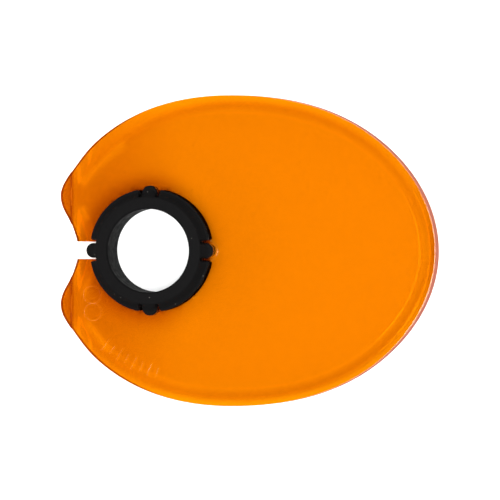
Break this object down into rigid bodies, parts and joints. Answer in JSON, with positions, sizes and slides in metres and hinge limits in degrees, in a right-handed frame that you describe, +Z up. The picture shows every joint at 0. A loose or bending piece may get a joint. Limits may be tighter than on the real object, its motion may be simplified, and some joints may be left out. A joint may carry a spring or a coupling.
{
  "type": "curing lamp glare shield",
  "caption": "Eye-protection shield: an orange see-through oval plate with a slotted end and a black rubber bush that grips the nose of a dental curing lamp.",
  "frame": {"origin": "under the middle of the whole shield, in the plane of the bush's rear face that it stands on", "axes": "+Z up, along the bore of the bush towards the user's eye; +X along the plate towards its wide end; +Y across the plate"},
  "size_m": [0.0958, 0.0776, 0.0114],
  "materials": {
    "orange_plastic": "clear moulded plastic, tinted orange, polished faces",
    "black_rubber": "soft moulded rubber, matt, faint grain and dust"
  },
  "bodies": {
    "root": {"shield_plate": "orange_plastic", "rubber_bush": "black_rubber"}
  },
  "joints": []
}
